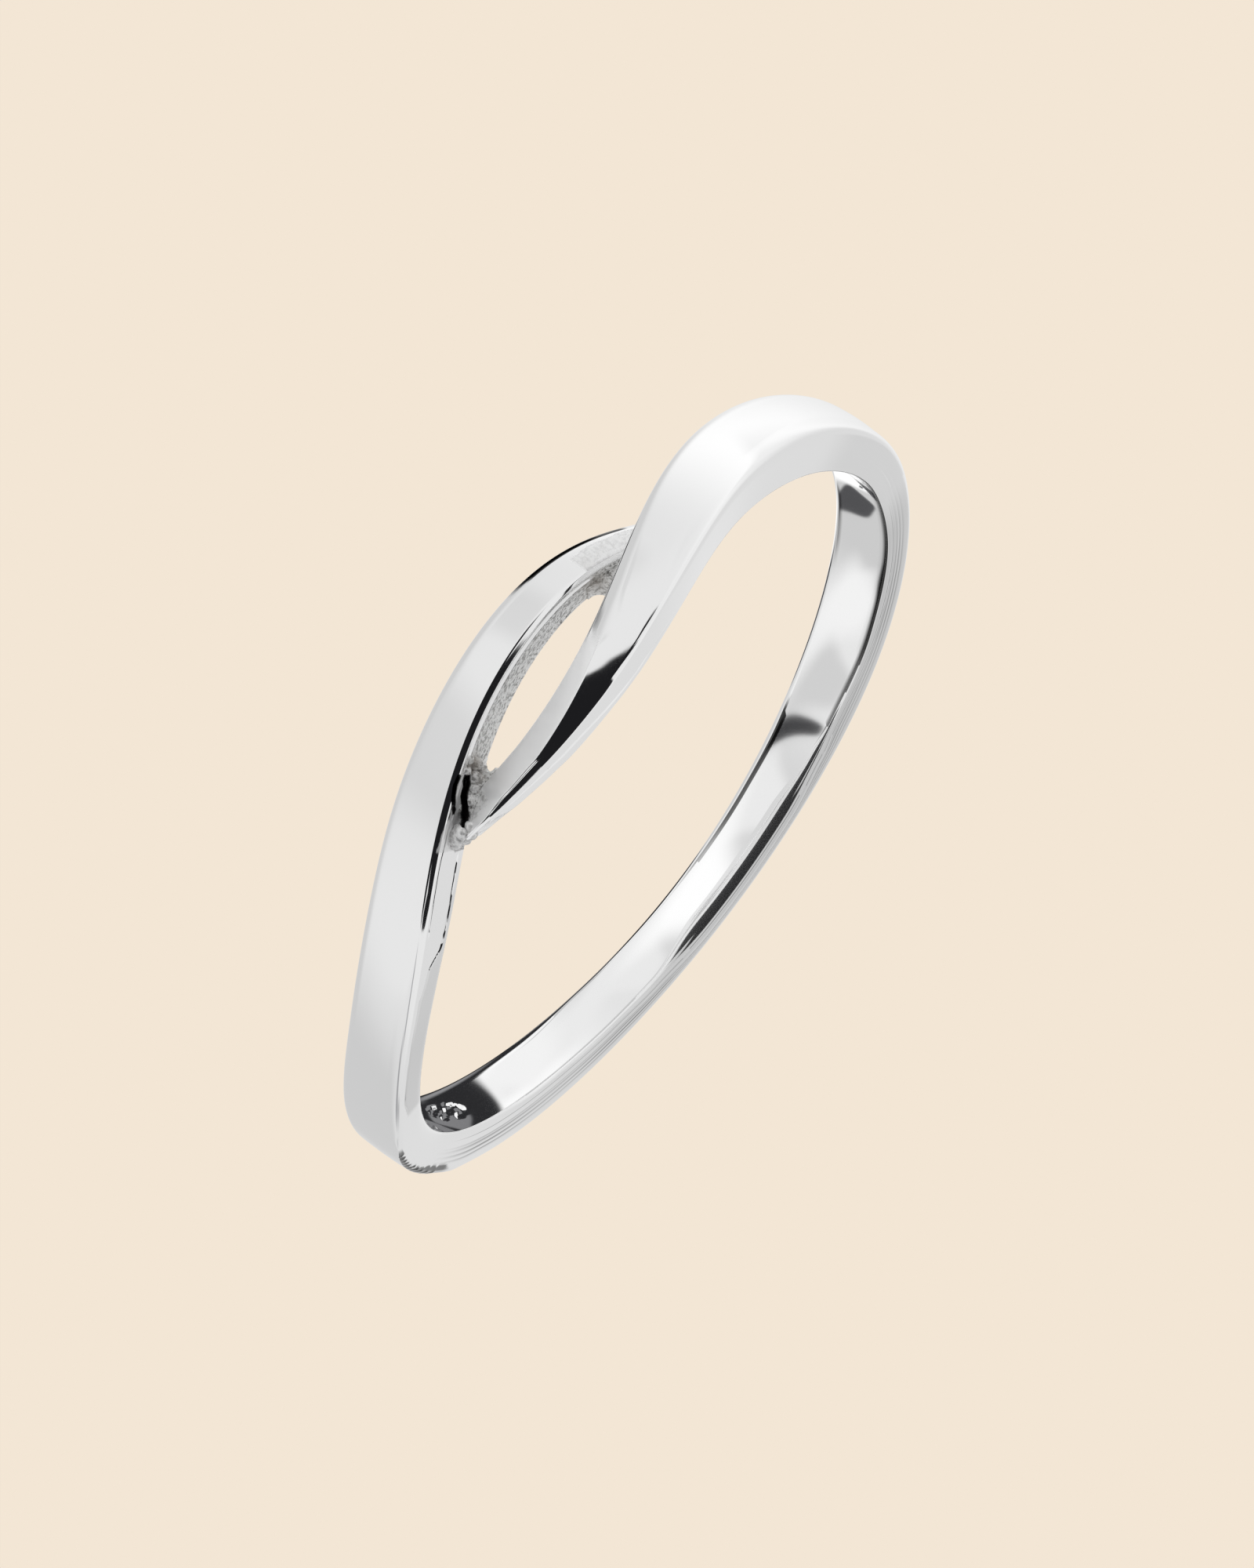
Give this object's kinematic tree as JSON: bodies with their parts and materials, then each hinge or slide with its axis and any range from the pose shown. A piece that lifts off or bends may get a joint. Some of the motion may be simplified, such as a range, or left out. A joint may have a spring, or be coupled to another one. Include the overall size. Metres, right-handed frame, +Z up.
{
  "type": "loop ring",
  "caption": "Polished silver finger ring of one looped wire, whose ends pass each other at the front round an almond-shaped eye.",
  "frame": {"origin": "middle of the underside of the ring's box, on the surface that the ring lies on", "axes": "+Z up, nearly along the axis of the finger hole; -Y towards the front of the ring, where the eye is; +X to the right seen from the front"},
  "size_m": [0.0194, 0.0202, 0.0031],
  "materials": {
    "polished_silver": "polished"
  },
  "bodies": {
    "root": {"band": "polished_silver"}
  },
  "joints": []
}
